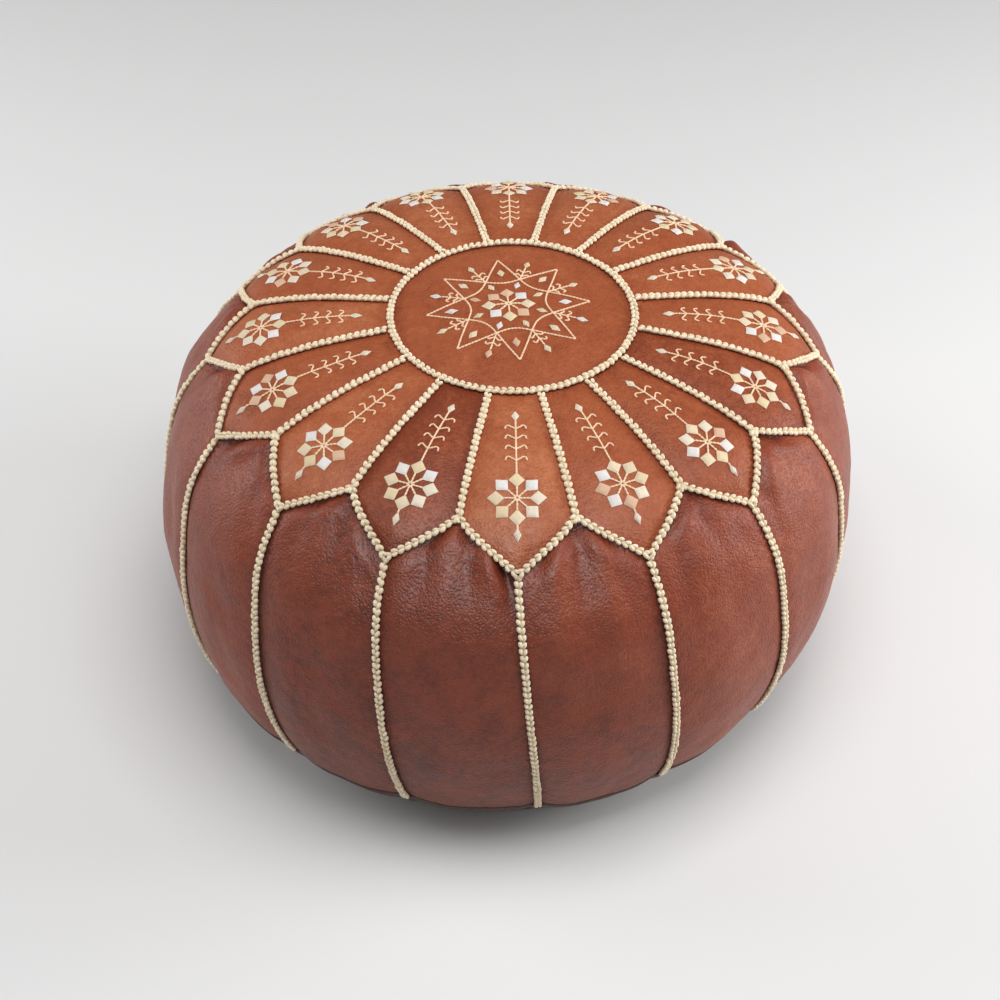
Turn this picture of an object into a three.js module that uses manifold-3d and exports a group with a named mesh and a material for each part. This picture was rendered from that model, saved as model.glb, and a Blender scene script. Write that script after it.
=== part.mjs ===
// A round stuffed leather pouf, sewn from a medallion, 16 pointed petals, 16 side panels and a
// two-piece base closed by a zip. Millimetres, +Z up, origin on the floor under the middle of the
// widest girth. Turns round the pouf are counted in panels, from the front (-Y) towards +X.
import * as THREE from "three";
import { mergeVertices } from "three/addons/utils/BufferGeometryUtils.js";
import Module from "manifold-3d";

const wasm = await Module();
wasm.setup();

// Driving dimensions
const PANELS = 16;
const STEP = (2 * Math.PI) / PANELS; // one panel, in radians
const LATHE_SEGMENTS = 4 * PANELS;
const LEATHER = 2.5; // goat leather with its backing
const GAP = 0.35; // between pieces that touch
const TWIST = THREE.MathUtils.degToRad(7); // how far the side seams wander round on their way down
const LEAN = 11; // how far the crown sits to +X of the base

// The outline of the stuffed cover, from the middle of the crown to the base seam: radius, height
const OUTLINE = [
  [0, 318],
  [88, 311],
  [150, 304],
  [195, 291.5],
  [224, 271],
  [249, 234],
  [260, 184],
  [263.5, 137],
  [257, 89],
  [240, 45],
  [209, 8.5],
].map(([r, z]) => new THREE.Vector2(r, z));
const outline = new THREE.SplineCurve(OUTLINE);
const spans = OUTLINE.length - 1;
// Where the seams cross the outline, as a share of it
const AT_RING = 1 / spans;
const AT_SHOULDER = 3 / spans;
const AT_TIP = 4 / spans;
const RING_RADIUS = OUTLINE[1].x;
const TIP_HEIGHT = OUTLINE[4].y;
const SEAM_HEIGHT = OUTLINE[spans].y;
const GIRTH_HEIGHT = OUTLINE[7].y; // level of the widest girth
const ABOVE = TIP_HEIGHT + 100; // clear of everything, for cutters

// Braided seams
const BRAID_RADIUS = 2.3;
const BRAID_OUT = BRAID_RADIUS + 1.3; // from the leather's face to the middle of the braid

// Base and its welt
const BASE_RADIUS = 203;
const BASE_LEATHER = 3;
const WELT_RADIUS = 3;

// Zip: a groove across the base keeps it clear of the floor
const ZIP_WINDOW = 8; // from the middle to the edge of the leather
const GROOVE_HALF = 27;
const GROOVE_DEPTH = 9;
const ZIP_LENGTH = 350;
const TAPE_HEIGHT = GROOVE_DEPTH + BASE_LEATHER + 0.4;
const TAPE_WIDTH = 15;
const TAPE_THICKNESS = 0.8;
const CHAIN_GAP = 0.8; // from the middle to each row of teeth, which lets the slider's post through
const TOOTH = { wide: 2.6, long: 1.7, tall: 2.8, pitch: 5 };
const SLIDER = { long: 11, half: 6, plate: 1.6, x: 165 };
const PULL = { long: 27, wide: 7.5, thick: 1.6, bar: 1.6, eye: 3.2, droop: 14 };

// Inner pieces
const LINER = 1.2;
const LINER_FLOOR = 17.4;
const LINER_MOUTH = 70; // radius of the hole that the stuffing goes in through
const CLEAR = 1.2;

// ---- Solids -------------------------------------------------------------------------------------

function solidOf(geometry) {
  const bare = geometry.index ? geometry.toNonIndexed() : geometry.clone();
  bare.deleteAttribute("normal");
  bare.deleteAttribute("uv");
  const merged = mergeVertices(bare, 1e-4);
  return new wasm.Manifold(
    new wasm.Mesh({
      numProp: 3,
      vertProperties: merged.attributes.position.array,
      triVerts: new Uint32Array(merged.index.array),
    }),
  );
}

function geometryOf(solid) {
  const mesh = solid.getMesh();
  const geometry = new THREE.BufferGeometry();
  geometry.setAttribute("position", new THREE.BufferAttribute(mesh.vertProperties, 3));
  geometry.setIndex(new THREE.BufferAttribute(mesh.triVerts, 1));
  return geometry;
}

const joined = (solids) => solids.reduce((all, next) => all.add(next));

// A lathe about Z from points of radius and height, which run anticlockwise seen from -Y.
function turned(points, segments = LATHE_SEGMENTS) {
  const lathe = new THREE.LatheGeometry(points, segments, 0, 2 * Math.PI);
  return lathe.rotateX(Math.PI / 2);
}

function prism(points, low, high) {
  const shape = new THREE.Shape(points);
  const solid = new THREE.ExtrudeGeometry(shape, { depth: high - low, bevelEnabled: false });
  return solid.translate(0, 0, low);
}

// A plate with rounded corners, lying flat.
function plate(x0, x1, y0, y1, low, high, corner = 0.4) {
  const shape = new THREE.Shape();
  shape.moveTo(x0 + corner, y0);
  shape.lineTo(x1 - corner, y0).quadraticCurveTo(x1, y0, x1, y0 + corner);
  shape.lineTo(x1, y1 - corner).quadraticCurveTo(x1, y1, x1 - corner, y1);
  shape.lineTo(x0 + corner, y1).quadraticCurveTo(x0, y1, x0, y1 - corner);
  shape.lineTo(x0, y0 + corner).quadraticCurveTo(x0, y0, x0 + corner, y0);
  return new THREE.ExtrudeGeometry(shape, {
    depth: high - low,
    bevelEnabled: false,
    curveSegments: 2,
  }).translate(0, 0, low);
}

function block(x0, x1, y0, y1, z0, z1) {
  const box = new THREE.BoxGeometry(x1 - x0, y1 - y0, z1 - z0);
  return box.translate((x0 + x1) / 2, (y0 + y1) / 2, (z0 + z1) / 2);
}

// ---- The surface --------------------------------------------------------------------------------

// The outline at a share t of it, moved out along its normal.
function outlinePoint(t, out = 0) {
  const point = outline.getPoint(t);
  const along = t === 0 ? new THREE.Vector2(1, 0) : outline.getTangent(t);
  return point.add(new THREE.Vector2(-along.y, along.x).multiplyScalar(out));
}

// The stuffing settles: the sides twist and the base slides towards -X under the crown.
function settle(point) {
  const drop = (TIP_HEIGHT - point.z) / (TIP_HEIGHT - SEAM_HEIGHT);
  const share = THREE.MathUtils.clamp(drop, 0, 1);
  const girth = (TIP_HEIGHT - GIRTH_HEIGHT) / (TIP_HEIGHT - SEAM_HEIGHT);
  point.applyAxisAngle(new THREE.Vector3(0, 0, 1), TWIST * share);
  point.x += LEAN * (girth - share);
  return point;
}
const BASE_X = settle(new THREE.Vector3(0, 0, 0)).x;

function settled(geometry) {
  const at = geometry.attributes.position;
  const point = new THREE.Vector3();
  for (let i = 0; i < at.count; i++) {
    settle(point.fromBufferAttribute(at, i));
    at.setXYZ(i, point.x, point.y, point.z);
  }
  return geometry;
}

const planPoint = (r, turn) =>
  new THREE.Vector2(r * Math.sin(turn * STEP), -r * Math.cos(turn * STEP));

// The cover's point at a share t of the outline and a turn round it, before it settles.
function surfacePoint(t, turn, out = 0) {
  const { x: r, y: z } = outlinePoint(t, out);
  const { x, y } = planPoint(r, turn);
  return new THREE.Vector3(x, y, z);
}

// ---- Leather cover ------------------------------------------------------------------------------

function coverShell() {
  const rows = 1.6 * spans;
  const shares = Array.from({ length: rows + 1 }, (_, i) => i / rows);
  const outer = shares.map((t) => outlinePoint(t));
  const inner = shares.map((t) => outlinePoint(t, -LEATHER));
  inner[0].x = 0;
  return solidOf(turned([...inner, ...outer.reverse()]));
}

const shell = coverShell();

// The zigzag between crown and sides, from one turn to another, moved out by a gap.
function zigzag(from, to, gap) {
  const steps = 8 * (to - from);
  return Array.from({ length: steps + 1 }, (_, i) => {
    const turn = from + i / 8;
    const valley = 2 * Math.abs(turn - Math.round(turn)); // 0 at a tip, 1 at a shoulder
    const t = THREE.MathUtils.lerp(AT_TIP, AT_SHOULDER, valley);
    return planPoint(outlinePoint(t).x + gap, turn);
  });
}

function medallion() {
  const disc = new THREE.CylinderGeometry(RING_RADIUS - GAP, RING_RADIUS - GAP, 60, LATHE_SEGMENTS);
  disc.rotateX(Math.PI / 2).translate(0, 0, OUTLINE[0].y);
  return geometryOf(shell.intersect(solidOf(disc)));
}

function petal(turn) {
  const inset = (r, side) => turn + side * (0.5 - GAP / (r * STEP));
  const foot = [-1, -0.5, 0, 0.5, 1].map((side) =>
    planPoint(RING_RADIUS + GAP, inset(RING_RADIUS, side)),
  );
  const shoulder = outlinePoint(AT_SHOULDER).x;
  const head = zigzag(turn - 0.5, turn + 0.5, -GAP).reverse();
  head[0] = planPoint(shoulder - GAP, inset(shoulder, 1));
  head[head.length - 1] = planPoint(shoulder - GAP, inset(shoulder, -1));
  return geometryOf(shell.intersect(solidOf(prism([...foot, ...head], GIRTH_HEIGHT, ABOVE))));
}

const crownCutter = solidOf(prism(zigzag(0, PANELS, GAP).slice(0, -1), GIRTH_HEIGHT, ABOVE));

function sidePanel(turn) {
  const reach = 400;
  const [left, right] = [0, 1].map((side) => planPoint(reach, turn + side));
  const inward = planPoint(GAP / Math.sin(STEP / 2), turn + 0.5); // leaves GAP beside each cut
  const wedge = [new THREE.Vector2(), left, right].map((p) => p.add(inward));
  return geometryOf(shell.subtract(crownCutter).intersect(solidOf(prism(wedge, 0, ABOVE))));
}

// ---- Braided seams ------------------------------------------------------------------------------

// A six-sided cord along points just clear of the cover.
function braid(place, steps, closed = false) {
  const points = Array.from({ length: closed ? steps : steps + 1 }, (_, i) => place(i / steps));
  const section = new THREE.Shape(
    Array.from({ length: 6 }, (_, i) => planPoint(BRAID_RADIUS, (i * PANELS) / 6)),
  );
  const path = new THREE.CatmullRomCurve3(points, closed, "centripetal");
  return new THREE.ExtrudeGeometry(section, { steps, bevelEnabled: false, extrudePath: path });
}

const onCover = (t, turn) => settle(surfacePoint(t, turn, BRAID_OUT));
const numbers = Array.from({ length: PANELS }, (_, i) => i);

function crownBraid() {
  const ring = braid((s) => onCover(AT_RING, s * PANELS), LATHE_SEGMENTS, true);
  const spokes = numbers.map((n) =>
    braid((s) => onCover(THREE.MathUtils.lerp(AT_RING, AT_SHOULDER - 0.01, s), n + 0.5), 5),
  );
  return geometryOf(joined([ring, ...spokes].map(solidOf)));
}

function skirtBraid() {
  const slopes = numbers.flatMap((n) =>
    [-0.5, 0.5].map((side) =>
      braid((s) => onCover(THREE.MathUtils.lerp(AT_SHOULDER + 0.006, AT_TIP, s), n + side * (1 - s)), 2),
    ),
  );
  const shoulders = numbers.map((n) => {
    const at = onCover(AT_SHOULDER + 0.006, n + 0.5);
    return new THREE.SphereGeometry(BRAID_RADIUS + 0.2, 6, 4).translate(at.x, at.y, at.z);
  });
  const seams = numbers.map((n) =>
    braid((s) => onCover(THREE.MathUtils.lerp(AT_TIP, 0.995, s), n), 9),
  );
  return geometryOf(joined([...slopes, ...shoulders, ...seams].map(solidOf)));
}

// ---- Base ---------------------------------------------------------------------------------------

function baseHalf(side) {
  const lip = ZIP_WINDOW + 7;
  const floor = [
    [ZIP_WINDOW, GROOVE_DEPTH],
    [lip, GROOVE_DEPTH],
    [GROOVE_HALF, 0],
    [BASE_RADIUS + 5, 0],
  ];
  const roof = floor.map(([y, z]) => [y, z + BASE_LEATHER]).reverse();
  const section = new THREE.Shape(
    [...floor, ...roof].map(([y, z]) => new THREE.Vector2(side * y, z)),
  );
  const sheet = new THREE.ExtrudeGeometry(section, { depth: 2 * BASE_RADIUS + 20, bevelEnabled: false });
  // The section lies in Y and Z, and runs along X.
  sheet.translate(0, 0, -BASE_RADIUS - 10);
  sheet.applyMatrix4(new THREE.Matrix4().set(0, 0, 1, 0, 1, 0, 0, 0, 0, 1, 0, 0, 0, 0, 0, 1));
  const disc = new THREE.CylinderGeometry(BASE_RADIUS, BASE_RADIUS, 60, LATHE_SEGMENTS);
  return geometryOf(solidOf(sheet).intersect(solidOf(disc.rotateX(Math.PI / 2))));
}

function baseWelt() {
  const points = Array.from({ length: 9 }, (_, i) => {
    const angle = (i * Math.PI) / 4;
    return new THREE.Vector2(
      BASE_RADIUS + WELT_RADIUS + GAP + WELT_RADIUS * Math.cos(angle),
      WELT_RADIUS + 1 + WELT_RADIUS * Math.sin(angle),
    );
  });
  points[8].copy(points[0]);
  return turned(points);
}

function zipEndPatch(end) {
  const x = end * (ZIP_LENGTH / 2 + 16);
  const half = ZIP_WINDOW - GAP;
  return plate(x - 9, x + 9, -half, half, GROOVE_DEPTH, GROOVE_DEPTH + 2, 2);
}

// ---- Zip ----------------------------------------------------------------------------------------

const TAPE_TOP = TAPE_HEIGHT + TAPE_THICKNESS;

function zipTape(side) {
  const [a, b] = [CHAIN_GAP + TOOTH.wide + GAP, CHAIN_GAP + TAPE_WIDTH].map((y) => side * y);
  const half = ZIP_LENGTH / 2 + 20;
  return plate(-half, half, Math.min(a, b), Math.max(a, b), TAPE_HEIGHT, TAPE_TOP);
}

// One row of teeth with the bead of the tape that holds them, cut from one comb outline.
function zipChain(side) {
  const middle = (TAPE_HEIGHT + TAPE_TOP) / 2;
  const half = ZIP_LENGTH / 2;
  const outer = CHAIN_GAP + TOOTH.wide;
  const comb = [new THREE.Vector2(half, side * outer), new THREE.Vector2(-half, side * outer)];
  const first = side > 0 ? 0 : TOOTH.pitch / 2; // the rows stand half a pitch apart
  comb.push(new THREE.Vector2(-half, side * (outer - 0.9)));
  for (let x = first + 2 - half; x < half - 3; x += TOOTH.pitch) {
    const corners = [
      [x, outer - 0.9],
      [x, CHAIN_GAP],
      [x + TOOTH.long, CHAIN_GAP],
      [x + TOOTH.long, outer - 0.9],
    ];
    comb.push(...corners.map(([px, py]) => new THREE.Vector2(px, side * py)));
  }
  comb.push(new THREE.Vector2(half, side * (outer - 0.9)));
  return prism(comb, middle - TOOTH.tall / 2, middle + TOOTH.tall / 2);
}

function zipStop(x, y0, y1) {
  const middle = (TAPE_HEIGHT + TAPE_TOP) / 2;
  return plate(x - 2, x + 2, y0, y1, middle - 1.5, middle + 1.5);
}

const SLIDER_LOW = TAPE_HEIGHT - 1.6; // inner face of the outer plate
const SLIDER_HIGH = TAPE_TOP + 1.6; // inner face of the inner plate
const BAIL = { long: 8, wide: 2.4, hole: 5, drop: 3.9, wall: 1.1 };
const PULL_AXIS = {
  x: SLIDER.x + 1,
  z: SLIDER_LOW - SLIDER.plate - (BAIL.drop - BAIL.wall) / 2,
};

// Two plates with turned edges, a post between the rows of teeth, and a bail for the pull.
function zipSlider() {
  const { long, half, plate: thick, x } = SLIDER;
  const [x0, x1] = [x - long / 2, x + long / 2];
  const lip = 1.1;
  const outer = plate(x0, x1, -half, half, SLIDER_LOW - thick, SLIDER_LOW, 1.5);
  const inner = plate(x0, x1, -half, half, SLIDER_HIGH, SLIDER_HIGH + thick, 1.5);
  const post = block(x1 - 4, x1 - 1, -0.5, 0.5, SLIDER_LOW - 0.5, SLIDER_HIGH + 0.5);
  const edges = [-1, 1].flatMap((side) => {
    const [y0, y1] = [side * half, side * (half - lip)].sort((a, b) => a - b);
    return [
      block(x0 + 1.6, x1 - 1.6, y0, y1, SLIDER_LOW - 0.5, TAPE_HEIGHT - 0.4),
      block(x0 + 1.6, x1 - 1.6, y0, y1, TAPE_TOP + 0.4, SLIDER_HIGH + 0.5),
    ];
  });
  const bailTop = SLIDER_LOW - thick + 0.3;
  const bailLow = SLIDER_LOW - thick - BAIL.drop;
  const [bx0, bx1] = [PULL_AXIS.x - BAIL.long / 2, PULL_AXIS.x + BAIL.long / 2];
  const bail = solidOf(block(bx0, bx1, -BAIL.wide / 2, BAIL.wide / 2, bailLow, bailTop)).subtract(
    solidOf(
      block(
        PULL_AXIS.x - BAIL.hole / 2,
        PULL_AXIS.x + BAIL.hole / 2,
        -BAIL.wide,
        BAIL.wide,
        bailLow + BAIL.wall,
        SLIDER_LOW - thick,
      ),
    ),
  );
  const body = [outer, inner, post, ...edges].map(solidOf);
  return geometryOf(joined([...body, bail]));
}

// A tab with an eye whose crossbar passes through the bail. It hangs from the crossbar.
function zipPull() {
  const { long, wide, thick, bar, eye } = PULL;
  const back = 5.2; // from the crossbar to the solid part of the tab
  const tab = plate(-long, bar / 2, -wide / 2, wide / 2, -thick / 2, thick / 2, 1.2);
  const window = block(-back, -bar / 2, -eye / 2, eye / 2, -thick, thick);
  const hole = new THREE.CylinderGeometry(1.4, 1.4, 3 * thick, 12).rotateX(Math.PI / 2);
  hole.translate(4 - long, 0, 0);
  const ends = [-1, 1].map((side) => {
    const [y0, y1] = [side * (eye / 2 + 1.3), side * wide].sort((a, b) => a - b);
    return block(-back + 1, bar, y0, y1, -thick, thick);
  });
  const cut = [window, hole, ...ends].reduce((solid, next) => solid.subtract(solidOf(next)), solidOf(tab));
  return geometryOf(cut);
}

// ---- Inner pieces -------------------------------------------------------------------------------

// The outline inside the leather, from the crown down to a floor, at an inset from the outside.
function insidePoints(inset, floor) {
  const shares = [...OUTLINE.slice(0, -1).map((_, i) => i / spans), 0.94];
  const points = shares.map((t) => outlinePoint(t, -inset));
  points[0].x = 0;
  return [...points, new THREE.Vector2(outlinePoint(0.97, -inset).x - 8, floor)];
}

function liner() {
  const outer = insidePoints(LEATHER + CLEAR, LINER_FLOOR);
  const inner = insidePoints(LEATHER + CLEAR + LINER, LINER_FLOOR + LINER);
  outer.push(new THREE.Vector2(LINER_MOUTH, LINER_FLOOR));
  inner.push(new THREE.Vector2(LINER_MOUTH, LINER_FLOOR + LINER));
  return turned([...inner, ...outer.reverse()], 2 * PANELS);
}

function filling() {
  const floor = LINER_FLOOR + LINER + CLEAR;
  const points = insidePoints(LEATHER + 2 * CLEAR + LINER, floor);
  return turned([new THREE.Vector2(0, floor), ...points.reverse()], 2 * PANELS);
}

// ---- Materials and assembly ---------------------------------------------------------------------

const finish = (color, roughness, metalness = 0) =>
  new THREE.MeshStandardMaterial({ color, roughness, metalness });
const petalLeather = finish(0xa65a3c, 0.45);
const sideLeather = finish(0x84422f, 0.45);
const baseLeather = finish(0x4a2a20, 0.6);
const thread = finish(0xe9d9b0, 0.8);
const calico = finish(0xe6dcc6, 0.95);
const wadding = finish(0xf2efe8, 1.0);
const tapeCloth = finish(0x3a241c, 0.9);
const brass = finish(0xb08d57, 0.35, 1);

function named(name, geometry, material) {
  const mesh = new THREE.Mesh(geometry, material);
  mesh.name = name;
  return mesh;
}

const pouf = new THREE.Group();
const two = (n) => String(n + 1).padStart(2, "0");

pouf.add(named("medallion", settled(medallion()), petalLeather));
for (const n of numbers) {
  pouf.add(named(`petal_${two(n)}`, settled(petal(n)), petalLeather));
  pouf.add(named(`side_panel_${two(n)}`, settled(sidePanel(n)), sideLeather));
}
pouf.add(named("crown_braid", crownBraid(), thread));
pouf.add(named("skirt_braid", skirtBraid(), thread));
pouf.add(named("liner_bag", settled(liner()), calico));
pouf.add(named("wadding", settled(filling()), wadding));

const base = new THREE.Group();
base.position.x = BASE_X;
base.add(named("base_half_front", baseHalf(-1), baseLeather));
base.add(named("base_half_back", baseHalf(1), baseLeather));
base.add(named("base_welt", baseWelt(), baseLeather));
base.add(named("zip_patch_left", zipEndPatch(-1), baseLeather));
base.add(named("zip_patch_right", zipEndPatch(1), baseLeather));
base.add(named("zip_tape_front", zipTape(-1), tapeCloth));
base.add(named("zip_tape_back", zipTape(1), tapeCloth));
base.add(named("zip_teeth_front", zipChain(-1), brass));
base.add(named("zip_teeth_back", zipChain(1), brass));
const rowOuter = CHAIN_GAP + TOOTH.wide;
const stopX = ZIP_LENGTH / 2 + 2.4;
base.add(named("zip_bottom_stop", zipStop(-stopX, -rowOuter, rowOuter), brass));
base.add(named("zip_top_stop_front", zipStop(stopX, -rowOuter, -CHAIN_GAP), brass));
base.add(named("zip_top_stop_back", zipStop(stopX, CHAIN_GAP, rowOuter), brass));
base.add(named("zip_slider", zipSlider(), brass));
const pull = named("zip_pull", zipPull(), brass);
pull.position.set(PULL_AXIS.x, 0, PULL_AXIS.z);
pull.rotation.y = -THREE.MathUtils.degToRad(PULL.droop);
base.add(pull);
pouf.add(base);

export default pouf;
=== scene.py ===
"""A stuffed Moroccan leather pouf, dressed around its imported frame."""

import math
import random

import bmesh
import bpy
from mathutils import Euler, Matrix, Vector, noise
from mathutils.bvhtree import BVHTree


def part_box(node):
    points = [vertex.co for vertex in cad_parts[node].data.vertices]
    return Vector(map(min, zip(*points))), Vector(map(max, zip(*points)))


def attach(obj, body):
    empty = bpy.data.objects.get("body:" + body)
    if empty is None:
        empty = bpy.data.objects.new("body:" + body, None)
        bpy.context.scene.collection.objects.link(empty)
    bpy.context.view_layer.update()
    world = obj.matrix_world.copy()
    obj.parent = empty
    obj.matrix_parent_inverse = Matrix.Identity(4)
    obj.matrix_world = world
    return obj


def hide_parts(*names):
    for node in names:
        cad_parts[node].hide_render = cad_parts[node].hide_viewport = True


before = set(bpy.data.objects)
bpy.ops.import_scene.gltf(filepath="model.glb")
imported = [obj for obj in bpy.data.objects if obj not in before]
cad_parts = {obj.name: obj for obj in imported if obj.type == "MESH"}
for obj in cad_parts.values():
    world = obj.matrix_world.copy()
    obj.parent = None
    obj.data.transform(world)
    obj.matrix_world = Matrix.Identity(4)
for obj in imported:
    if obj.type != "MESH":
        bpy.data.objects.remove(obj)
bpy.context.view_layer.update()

# ---- Camera -------------------------------------------------------------------------------------
# It looks down at the front of the pouf, from a little way back, at the height of a standing person.
# The pouf is turned slightly to its right of the camera.

VIEW_TURN = math.radians(-1.16)
VIEW_RISE = math.radians(42.68)
VIEW_DISTANCE = 1.382
VIEW_AIM = Vector((-0.0034, 0.0, 0.127))
LENS = 63.4

eye = Vector((0.0056, 0.0, 0.146)) + VIEW_DISTANCE * Vector(
    (
        math.sin(VIEW_TURN) * math.cos(VIEW_RISE),
        -math.cos(VIEW_TURN) * math.cos(VIEW_RISE),
        math.sin(VIEW_RISE),
    )
)
camera_data = bpy.data.cameras.new("camera")
camera_data.lens = LENS
camera_data.sensor_width = 36.0
camera = bpy.data.objects.new("camera", camera_data)
camera.location = eye
camera.rotation_euler = (VIEW_AIM - eye).to_track_quat("-Z", "Y").to_euler()
bpy.context.collection.objects.link(camera)
bpy.context.scene.camera = camera

# ---- Shape of the stuffed cover -----------------------------------------------------------------
# The cover is sewn from flat pieces and takes its shape from the stuffing: a shallow crown, full
# sides, and a base that slides a little to one side. A share runs from the crown's middle (0) to the
# base seam (1), and a turn counts panels from the front towards +X.

PANELS = 16
STEP = 2 * math.pi / PANELS
OUTLINE = [
    (0.0, 0.318),
    (0.088, 0.311),
    (0.150, 0.304),
    (0.195, 0.2915),
    (0.224, 0.271),
    (0.249, 0.234),
    (0.260, 0.184),
    (0.2635, 0.137),
    (0.257, 0.089),
    (0.240, 0.045),
    (0.209, 0.0085),
]
SPANS = len(OUTLINE) - 1
AT_RING = 1 / SPANS
AT_SHOULDER = 3 / SPANS
AT_TIP = 4 / SPANS
RING_RADIUS = OUTLINE[1][0]
TIP_HEIGHT = OUTLINE[4][1]
GIRTH_HEIGHT = OUTLINE[7][1]
SEAM_HEIGHT = OUTLINE[SPANS][1]
TWIST = math.radians(7)
LEAN = 0.011


def spline(share, outline=OUTLINE):
    """A point and its direction on the smooth curve through an outline's points."""
    place = min(max(share, 0.0), 1.0) * (len(outline) - 1)
    span = min(int(place), len(outline) - 2)
    along = place - span
    last = len(outline) - 1
    knots = [Vector(outline[min(max(span + i, 0), last)]) for i in (-1, 0, 1, 2)]
    start, end = (knots[2] - knots[0]) / 2, (knots[3] - knots[1]) / 2
    bend = 2 * knots[1] - 2 * knots[2] + start + end
    ease = -3 * knots[1] + 3 * knots[2] - 2 * start - end
    point = ((bend * along + ease) * along + start) * along + knots[1]
    return point, (3 * bend * along * along + 2 * ease * along + start).normalized()


def settle(point):
    """The sides twist on their way down, and the base slides under the crown."""
    fall = TIP_HEIGHT - SEAM_HEIGHT
    share = min(max((TIP_HEIGHT - point.z) / fall, 0.0), 1.0)
    moved = Matrix.Rotation(TWIST * share, 3, "Z") @ point
    moved.x += LEAN * ((TIP_HEIGHT - GIRTH_HEIGHT) / fall - share)
    return moved


def on_cover(share, turn, out=0.0):
    """A point on the outside of the leather, or a distance out from it."""
    (radius, height), along = spline(share)
    radius, height = radius - along.y * out, height + along.x * out
    angle = turn * STEP
    return settle(Vector((radius * math.sin(angle), -radius * math.cos(angle), height)))


def outward(share, turn):
    return (on_cover(share, turn, 0.001) - on_cover(share, turn)).normalized()


def arc_length(first, second, steps=24):
    """How far it is over the cover between two shares of the outline."""
    points = [spline(first + (second - first) * i / steps)[0] for i in range(steps + 1)]
    return sum((b - a).length for a, b in zip(points, points[1:]))


def zigzag(turn):
    """The share at which the crown's edge lies: far out at a petal's tip, high at a shoulder."""
    valley = 2 * abs(turn - round(turn))
    return AT_TIP + (AT_SHOULDER - AT_TIP) * valley


# ---- Leather ------------------------------------------------------------------------------------
# Goat leather, drum dyed reddish tan, then waxed and burnished by hand. The dye takes unevenly, the
# grain is fine and pebbled, and each piece comes from another part of a hide.


class Wire:
    """A shader value that can be added, multiplied and so on like a number."""

    def __init__(self, finish, socket):
        self.finish = finish
        self.socket = socket

    def maths(self, operation, *values):
        return self.finish.node("ShaderNodeMath", {"operation": operation}, dict(enumerate(values)))

    def __add__(self, other):
        return self.maths("ADD", self, other)

    def __sub__(self, other):
        return self.maths("SUBTRACT", self, other)

    def __mul__(self, other):
        return self.maths("MULTIPLY", self, other)

    def __pow__(self, other):
        return self.maths("POWER", self, other)

    def __rsub__(self, other):
        return self.maths("SUBTRACT", other, self)

    __radd__ = __add__
    __rmul__ = __mul__

    def between(self, low, high):
        """Runs from 0 at low to 1 at high, with soft ends."""
        settings = {"interpolation_type": "SMOOTHSTEP"}
        sockets = {"Value": self, "From Min": low, "From Max": high}
        return self.finish.node("ShaderNodeMapRange", settings, sockets)


class Finish:
    """A material that starts from constants on the main shader."""

    def __init__(self, name, constants):
        self.material = bpy.data.materials.new(name)
        self.material.use_nodes = True
        self.tree = self.material.node_tree
        self.shader = self.tree.nodes["Principled BSDF"]
        for word, value in constants.items():
            self.shader.inputs[word].default_value = value

    def node(self, kind, settings=None, sockets=None, out=0):
        made = self.tree.nodes.new(kind)
        for word, value in (settings or {}).items():
            setattr(made, word, value)
        for word, value in (sockets or {}).items():
            if isinstance(value, Wire):
                self.tree.links.new(value.socket, made.inputs[word])
            else:
                made.inputs[word].default_value = value
        return Wire(self, made.outputs[out])

    def here(self):
        return self.node("ShaderNodeTexCoord", out="Object")

    def attribute(self, name, out="Fac"):
        return self.node("ShaderNodeAttribute", {"attribute_name": name}, out=out)

    def cloud(self, scale, detail=3.0, roughness=0.55, vector=None, distortion=0.0):
        sockets = {"Scale": scale, "Detail": detail, "Roughness": roughness, "Distortion": distortion}
        return self.node("ShaderNodeTexNoise", None, {"Vector": vector or self.here(), **sockets})

    def cells(self, scale, feature="F1", vector=None):
        sockets = {"Vector": vector or self.here(), "Scale": scale}
        return self.node("ShaderNodeTexVoronoi", {"feature": feature}, sockets)

    def stretched(self, scale, vector=None):
        sockets = {"Vector": vector or self.here(), "Scale": scale}
        return self.node("ShaderNodeMapping", None, sockets)

    def mix(self, share, first, second, how="MIX"):
        settings = {"data_type": "RGBA", "blend_type": how}
        return self.node("ShaderNodeMix", settings, {0: share, 6: first, 7: second}, out=2)

    def bump(self, height, depth, strength=1.0):
        sockets = {"Height": height, "Distance": depth, "Strength": strength}
        return self.node("ShaderNodeBump", None, sockets)

    def feed(self, wires):
        for word, wire in wires.items():
            self.tree.links.new(wire.socket, self.shader.inputs[word])
        return self.material


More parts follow.
